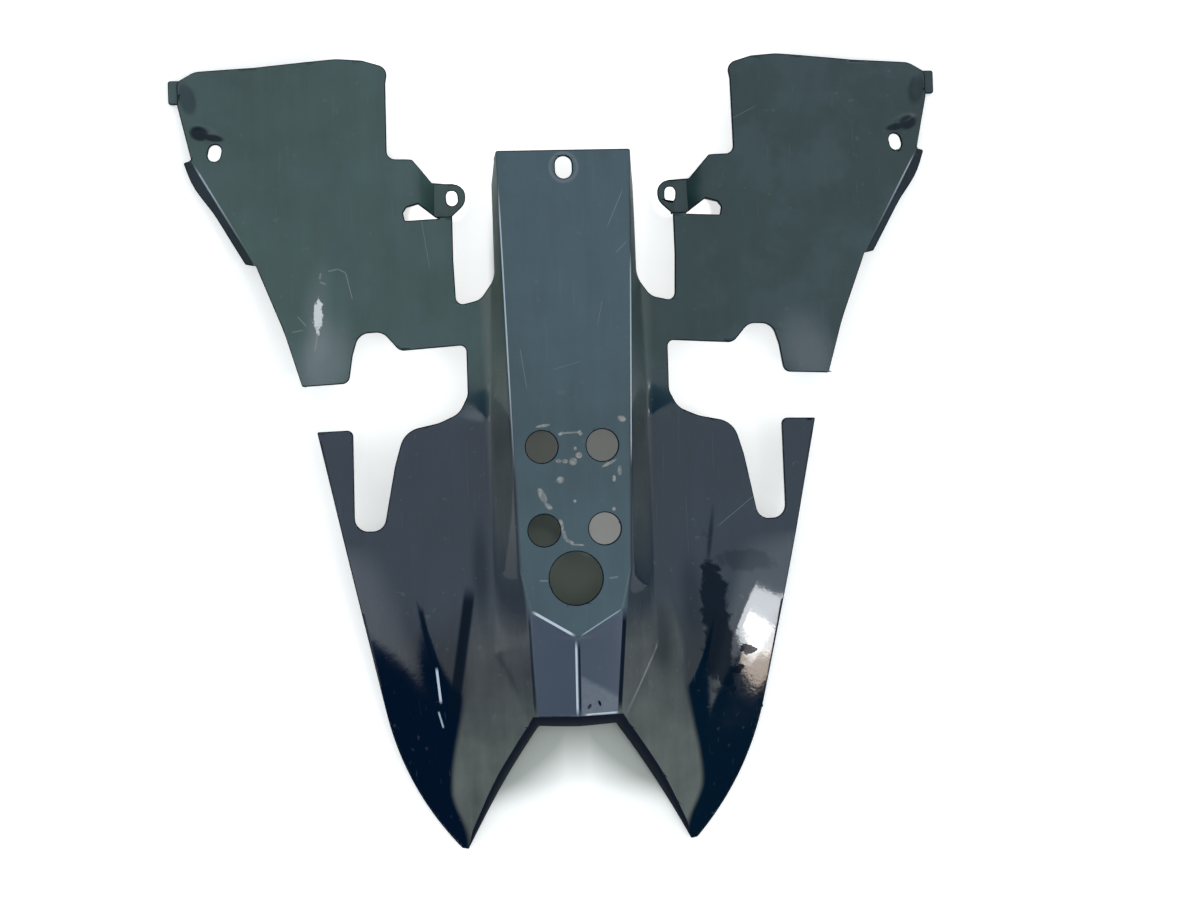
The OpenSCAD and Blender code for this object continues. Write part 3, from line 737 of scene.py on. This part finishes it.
    # matte black that paints shade, and some dirt, over the gloss
    dirt_and_shade_matte = s.node("ShaderNodeBsdfDiffuse", None, {"Color": MATTE_DIRT_AND_SHADE})
    shader = s.node("ShaderNodeMixShader", None, {0: dirt_and_painted_shade.clamp(), 1: Value(s.tree, s.bsdf.outputs[0]), 2: dirt_and_shade_matte})
    s.tree.links.new(shader.socket, s.tree.nodes["Material Output"].inputs["Surface"])
    return s.mat


def dark_edge(look):
    """The dull black of cut and turned edges."""
    s = Shade("dull_edge")
    s.set("Base Color", (*look.plastic_colour, 1.0))
    s.set("Roughness", 0.6)
    s.set("Specular IOR Level", 0.12)
    return s.mat


def pale_floor(look):
    """A pale matt floor with painted shadow below the plate and beside the notch. For the camera, painted light
    lifts the rest to white, more in front and round the slots, and adds pools of light under the plate's holes.
    """
    s = Shade("pale_floor")
    x, y, _ = s.parts(s.here())
    side = x.math("ABSOLUTE")
    both = s.node("ShaderNodeCombineXYZ", None, {0: side, 1: y})
    below = (1 - side.rise(30, 38)) * y.rise(-132, -100) * (1 - y.rise(96, 126))
    front = (1 - side.rise(95, 125)) * y.rise(0, 40)
    rear = 1 - y.rise(-186, -136) + (side - 6).math("MAXIMUM", 0.0) * -0.022
    notch = (1 - side.rise(54, 60)) * (1 - y.rise(-134, -126)) * (1 - rear * 1.15).clamp()
    notch = notch * (0.3 * y.rise(-206, -180) + 0.7 * y.rise(-182, -162))
    lit = x.rise(2, 12) * y.rise(-54, -46) * (0.19 - 0.08 * y.rise(-25, -8))
    lit = lit + (1 - x.rise(2, 12)) * y.rise(-20, -8) * 0.04
    slots = mask_max(1 - spot(s, both, at, (7, 9)).rise(0.8, 1.3) for at in ((169, 150), (54, 127), (68, 118)))
    # painted shadow: darker under the plate and beside the notch
    tone = s.blend(below, (*look.floor_colour, 1.0), (0.3, 0.33, 0.27, 1))
    tone = s.blend(notch, tone, (0.44, 0.45, 0.40, 1))
    s.set("Base Color", tone)
    s.set("Roughness", 0.9)
    s.set("Specular IOR Level", 0.1)
    path = s.tree.nodes.new("ShaderNodeLightPath")
    seen = Value(s.tree, path.outputs["Is Camera Ray"])
    # painted light for the camera: lifts the floor to white, more in front and round the slots, with pools of light
    # under the plate's holes
    lift = seen * ((1 - below) * (1 - notch) * (0.42 + 0.2 * front + 0.5 * slots) + below * lit)
    s.set("Emission Color", s.blend(lift, (0, 0, 0, 1), (1, 1, 0.99, 1)))
    s.set("Emission Strength", 1.0)
    return s.mat


# ------------------------------------------------------------- stage light

def studio_world():
    """A pale ceiling, brighter at its sides, with a dark gap behind the part. The camera sees white."""
    world = bpy.data.worlds.new("studio")
    world.use_nodes = True
    s = Shade.of(world.node_tree)
    back = s.tree.nodes["Background"]
    dx, dy, dz = s.parts(s.node("ShaderNodeTexCoord", out="Generated"))
    up = dz.math("MAXIMUM", 0.02)
    tx, ty = (dx / up).math("ABSOLUTE"), dy / up
    limit = -0.29 - 0.125 * tx.rise(0.2, 0.46) + 0.06 * (1 - (tx - 0.17).math("ABSOLUTE").rise(0.0, 0.07))
    gap = (limit - ty).rise(0.0, 0.025) * (1 - (ty * -1.0).rise(0.7, 1.3)) * (1 - tx.rise(0.9, 1.4))
    wing = tx.rise(0.3, 0.5) * (1 - tx.rise(1.2, 1.8)) * (ty * -1.0).rise(0.1, 0.26)
    light = (wing + 1.0) * (0.35 + 0.65 * dz.rise(0.1, 0.6))
    tint = s.blend(light * 0.5, (0, 0, 0, 1), (1.84, 2.0, 2.12, 1))
    tint = s.blend(gap, tint, (0.01, 0.06, 0.18, 1))
    path = s.tree.nodes.new("ShaderNodeLightPath")
    seen = Value(s.tree, path.outputs["Is Camera Ray"])
    final = s.blend(seen, tint, (1, 1, 1, 1))
    s.tree.links.new(final.socket, back.inputs["Color"])
    back.inputs["Strength"].default_value = 1.0
    return world


# ------------------------------------------------------------- operators

class UndertailSizes(bpy.types.PropertyGroup):
    """Sizes in millimetres."""
    bolt_hole: FloatProperty(
        name="Bolt holes", description="Diameter of the four round holes, in millimetres",
        default=15.6, min=8, max=18)
    wiring_hole: FloatProperty(
        name="Wiring hole", description="Diameter of the wiring hole, in millimetres",
        default=26.0, min=16, max=30)
    lip_drop: FloatProperty(
        name="Lip drop", description="Depth of the lip at the middle of the tail notch, in millimetres",
        default=8.0, min=3, max=10)


def colour_property(name, description, default):
    """A colour without alpha."""
    return FloatVectorProperty(
        name=name, description=description, subtype="COLOR", default=default, size=3, min=0, max=1)


class UndertailLook(bpy.types.PropertyGroup):
    """Colours of the plastic, of the films on it and of the floor."""
    plastic_colour: colour_property("Plastic", "Colour of the clean black plastic", (0.0008, 0.004, 0.012))
    ear_film: colour_property("Film on ears", "Colour of the dull film on the ears", (0.041, 0.086, 0.074))
    wing_film: colour_property("Film on wings", "Colour of the thin film on the wings", (0.018, 0.031, 0.052))
    plate_film: colour_property("Film on plate", "Colour of the dull film on the plate", (0.053, 0.1, 0.118))
    # also used for the painted reflection of the floor in the plate's side walls and near the wing tips
    dust_and_reflection_colour: colour_property("Dust", "Colour of the dust beside the tail notch", (0.2, 0.215, 0.18))
    floor_colour: colour_property("Floor", "Colour of the floor", (0.88, 0.86, 0.82))


def finish_piece(obj, *mats):
    """Gives a finished piece its materials and its body."""
    obj.data.materials.clear()
    for mat in mats:
        obj.data.materials.append(mat)
    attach(obj, "root")


def plastic():
    """The gloss plastic and its dark edges, made once."""
    look = bpy.context.scene.undertail_look
    face = bpy.data.materials.get("gloss_film") or gloss_plastic(look)
    return face, bpy.data.materials.get("dull_edge") or dark_edge(look)


def round_edges(obj, width):
    """Rounds the sharp edges of a piece with a narrow bevel in the second material."""
    mod = obj.modifiers.new("edges", "BEVEL")
    mod.width, mod.segments, mod.limit_method = width * MM, 2, "ANGLE"
    mod.angle_limit, mod.use_clamp_overlap, mod.material = math.radians(55), False, 1
    mod.harden_normals = True


class UNDERTAIL_OT_sheet(bpy.types.Operator):
    """Makes the moulded sheet: plate, ears and wings, trimmed to its outline and holes"""
    bl_idname = "undertail.sheet"
    bl_label = "Sheet"

    def execute(self, context):
        sizes = context.scene.undertail_sizes
        grid = sheet_grid()
        n_rows, n_ring = grid.shape[:2]
        first = list(range(n_ring))
        last = [(n_rows - 1) * n_ring + i for i in first]
        sheet = new_object("sheet", grid.reshape(-1, 3), ring_faces(n_rows, n_ring) + [first[::-1], last])

        half = rounded(half_outline())
        plan = prism("outline", half, -10, 60)
        apply_boolean(plan, prism("outline_left", mirrored_points(half), -10, 60), "UNION")
        holes = [
            circle_points((sx * PINS_X, PINS_Y + sy * PINS_HALF), sizes.bolt_hole)
            for sx in (-1, 1) for sy in (-1, 1)
        ]
        holes.append(circle_points(WIRING_AT, sizes.wiring_hole, 96))
        holes.append(slot_points(FRONT_SLOT_AT, 0, 8.2, 11))
        for pts in (rounded(WINDOW), slot_points(*EAR_SLOT), slot_points(*RING_SLOT)):
            holes += [pts, mirrored_points(pts)]
        pins = join("pins", [prism("pin", hole, -20, 70) for hole in holes])
        apply_boolean(plan, pins, "DIFFERENCE")
        apply_boolean(sheet, plan, "INTERSECT")
        outward(sheet, 0.05)
        shade(sheet, 28)
        finish_piece(sheet, *plastic())
        round_edges(sheet, 0.5)
        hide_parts("undertail")
        return {"FINISHED"}


def both_halves(right, flip):
    """A run of stations from the right tip to the middle, and its mirror image on to the left tip."""
    return np.concatenate([right, right[-2::-1] * flip])


class UNDERTAIL_OT_lip(bpy.types.Operator):
    """Makes the lip that bends down round the tail notch"""
    bl_idname = "undertail.lip"
    bl_label = "Notch lip"

    def execute(self, context):
        """Profile carried along the notch: a tongue in the sheet, a bend, a leaning wall and its back."""
        deep = context.scene.undertail_sizes.lip_drop
        t = np.linspace(0, 1, 40)[:-1]
        low = notch_edge(t) - NOTCH_IN * (0.7 * t[:, None])
        low = np.concatenate([low, [np.array(NOTCH) + [-0.2, -1.1]], [[12, -135.8], [6, -136.0], [0, -136.1]]])
        top = np.concatenate([bend_edge(t), [bend_corner()], [[12.5, -131.15], [6, -131.35], [0, -131.5]]])
        drop = np.concatenate([mix(1.8, deep, soft_step(t * 1.5)), np.full(4, deep)])
        low, top, d = both_halves(low, [-1, 1]), both_halves(top, [-1, 1]), both_halves(drop, 1)

        run = np.linalg.norm(top - low, axis=1)
        away = (top - low) / run[:, None]

        def face_z(out):
            """The outer face's height beside the bend line."""
            place = top + away * out
            return outer_z(np.abs(place[:, 0]), place[:, 1])

        far, near, face = face_z(1.6), face_z(0.8), face_z(0.0)
        same = np.ones_like(run)
        # the profile's points: distance out from the bend line, and height
        points = (
            (1.6 * same, far - 0.06), (0.8 * same, near - 0.02), (0.0 * same, face - 0.1),
            (-0.3 * run, face - 0.16 * d - 0.1), (-0.55 * run, face - 0.4 * d), (-0.8 * run, face - 0.7 * d),
            (-0.97 * run, face - 0.93 * d), (0.25 - run, face - d), (1.6 - run, face - d),
            (1.7 - 0.6 * run, face - 0.75 * d), (0.4 * same, face - 2.2), (1.6 * same, far - 2.2),
        )
        out = np.stack([u for u, _ in points], 1)[..., None]
        height = np.stack([w for _, w in points], 1)[..., None]
        profile = np.concatenate([top[:, None] + away[:, None] * out, height], 2)
        n, m = profile.shape[:2]
        faces = ring_faces(n, m) + [list(range(m))[::-1], [(n - 1) * m + i for i in range(m)]]
        lip = new_object("notch_lip", profile.reshape(-1, 3), faces, 40)
        finish_piece(lip, plastic()[1])
        return {"FINISHED"}


class UNDERTAIL_OT_tabs(bpy.types.Operator):
    """Makes the small tabs at the outer front corners of the ears"""
    bl_idname = "undertail.tabs"
    bl_label = "Corner tabs"

    def execute(self, context):
        right = rounded(TAB)
        for name, pts in (("tab_right", right), ("tab_left", mirrored_points(right))):
            tab = prism(name, pts, 0, 2.8)
            finish_piece(tab, *plastic())
            round_edges(tab, 0.45)
        return {"FINISHED"}


FLOOR_HALF = 3000
# name, place and size in metres, power in watts and colour: the window and wall that the right wing reflects
LAMPS = (
    ("window", (3.91, -2.42, 6.0), (0.47, 1.08), 22, (0.93, 0.97, 1.0)),
    ("lower_pane", (4.09, -2.64, 6.0), (0.15, 1.0), 9, (1.0, 1.0, 1.0)),
    ("warm_wall", (4.33, -2.95, 6.0), (0.17, 0.66), 3.6, (1.0, 0.84, 0.7)),
)
# the camera as fitted to the photograph: turns about its own axes in radians, places in millimetres
VIEW_ANGLES = (3.12730570e-02, -1.59421769e-03, 9.03471990e-02)
VIEW_SHIFT = (15.996, 0, 1000)
VIEW_TARGET = (0, 0.975, 0)


class UNDERTAIL_OT_stage(bpy.types.Operator):
    """Makes the floor, the soft lights and the camera"""
    bl_idname = "undertail.stage"
    bl_label = "Stage"

    def execute(self, context):
        scene = context.scene
        corners = np.array([[-1, -1, 0], [1, -1, 0], [1, 1, 0], [-1, 1, 0]]) * FLOOR_HALF
        floor = new_object("floor", corners - [0, 0, 0.3], [[0, 1, 2, 3]])
        floor.data.materials.append(pale_floor(scene.undertail_look))

        scene.world = studio_world()
        for name, place, (width, length), power, tint in LAMPS:
            light = bpy.data.lights.new(name, "AREA")
            light.shape, light.size, light.size_y = "RECTANGLE", width, length
            light.energy, light.color = power, tint
            lamp = bpy.data.objects.new(name, light)
            scene.collection.objects.link(lamp)
            lamp.location = place
            lamp.rotation_euler = Vector(place).to_track_quat("Z", "Y").to_euler()

        roll, pitch, yaw = (Matrix.Rotation(a, 3, axis) for a, axis in zip(VIEW_ANGLES, "ZXY"))
        turn = (roll @ pitch @ yaw).transposed()
        place = turn @ Vector(VIEW_SHIFT) + Vector(VIEW_TARGET)
        cam = bpy.data.cameras.new("camera")
        cam.sensor_width, cam.lens = 36.0, 60.0
        eye = bpy.data.objects.new("camera", cam)
        scene.collection.objects.link(eye)
        eye.matrix_world = Matrix.Translation(place * MM) @ turn.to_4x4()
        scene.camera = eye
        scene.view_settings.view_transform = "Standard"
        return {"FINISHED"}


class UNDERTAIL_PT_panel(bpy.types.Panel):
    """Sizes, colours and steps in the sidebar"""
    bl_idname = "UNDERTAIL_PT_panel"
    bl_label = "Undertail"
    bl_space_type, bl_region_type, bl_category = "VIEW_3D", "UI", "Undertail"

    def draw(self, context):
        for group in (context.scene.undertail_sizes, context.scene.undertail_look):
            for key in group.__annotations__:
                self.layout.prop(group, key)
        for op in STEPS:
            self.layout.operator(op.bl_idname)


STEPS = (UNDERTAIL_OT_sheet, UNDERTAIL_OT_lip, UNDERTAIL_OT_tabs, UNDERTAIL_OT_stage)
CLASSES = (UndertailSizes, UndertailLook) + STEPS + (UNDERTAIL_PT_panel,)


def register():
    for c in CLASSES:
        bpy.utils.register_class(c)
    bpy.types.Scene.undertail_sizes = PointerProperty(type=UndertailSizes)
    bpy.types.Scene.undertail_look = PointerProperty(type=UndertailLook)


def unregister():
    del bpy.types.Scene.undertail_look
    del bpy.types.Scene.undertail_sizes
    for c in reversed(CLASSES):
        bpy.utils.unregister_class(c)


def main():
    register()
    bpy.ops.undertail.sheet()
    bpy.ops.undertail.lip()
    bpy.ops.undertail.tabs()
    bpy.ops.undertail.stage()


if __name__ == "__main__":
    main()
